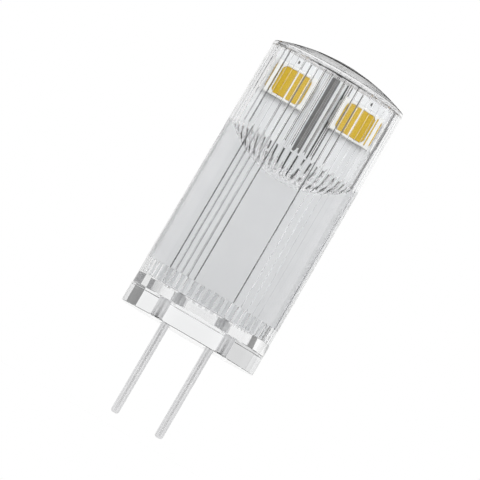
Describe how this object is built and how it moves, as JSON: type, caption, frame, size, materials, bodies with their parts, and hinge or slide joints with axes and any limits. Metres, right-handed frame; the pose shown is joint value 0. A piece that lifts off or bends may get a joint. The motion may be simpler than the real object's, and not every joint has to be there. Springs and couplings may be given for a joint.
{
  "type": "led capsule bulb",
  "caption": "Bi-pin capsule lamp: a clear ribbed cover over a white board with yellow emitters, on a clear base plug.",
  "frame": {"origin": "centre of the base plug's seating face, midway between the contact pins", "axes": "+Z along the lamp's axis from the pins towards the dome, X through both contact pins, -Y out of the board's front face"},
  "size_m": [0.012, 0.012, 0.033],
  "materials": {
    "clear_plastic": "clear and glossy",
    "clear_silicone": "clear cured silicone",
    "pin_metal": "tinned, drawn lengthwise",
    "board_white": "white solder mask",
    "solder": "bright solder",
    "black_epoxy": "moulded epoxy",
    "tan_ceramic": "fired ceramic with tinned ends",
    "tinned_lead": "tinned",
    "led_housing": "white moulded plastic",
    "led_phosphor": "yellow phosphor in clear silicone",
    "led_lead": "silvered"
  },
  "bodies": {
    "root": {"bulb_cover": "clear_plastic", "base_plug": "clear_plastic", "clear_filling": "clear_silicone", "contact_pin_left": "pin_metal", "contact_pin_right": "pin_metal", "circuit_board": "board_white", "solder_joint_left": "solder", "solder_joint_right": "solder", "rectifier_body": "black_epoxy", "driver_body": "black_epoxy", "resistor_left": "black_epoxy", "resistor_right": "black_epoxy", "capacitor_left": "tan_ceramic", "capacitor_right": "tan_ceramic", "rectifier_lead_lower_left": "tinned_lead", "rectifier_lead_lower_right": "tinned_lead", "rectifier_lead_upper_left": "tinned_lead", "rectifier_lead_upper_right": "tinned_lead", "driver_lead_1": "tinned_lead", "driver_lead_2": "tinned_lead", "driver_lead_3": "tinned_lead", "driver_tab": "tinned_lead", "led_front_left_housing": "led_housing", "led_front_right_housing": "led_housing", "led_back_left_housing": "led_housing", "led_back_right_housing": "led_housing", "led_front_left_phosphor": "led_phosphor", "led_front_right_phosphor": "led_phosphor", "led_back_left_phosphor": "led_phosphor", "led_back_right_phosphor": "led_phosphor", "led_front_left_lead_outer": "led_lead", "led_front_left_lead_inner": "led_lead", "led_front_right_lead_outer": "led_lead", "led_front_right_lead_inner": "led_lead", "led_back_left_lead_outer": "led_lead", "led_back_left_lead_inner": "led_lead", "led_back_right_lead_outer": "led_lead", "led_back_right_lead_inner": "led_lead"}
  },
  "joints": []
}
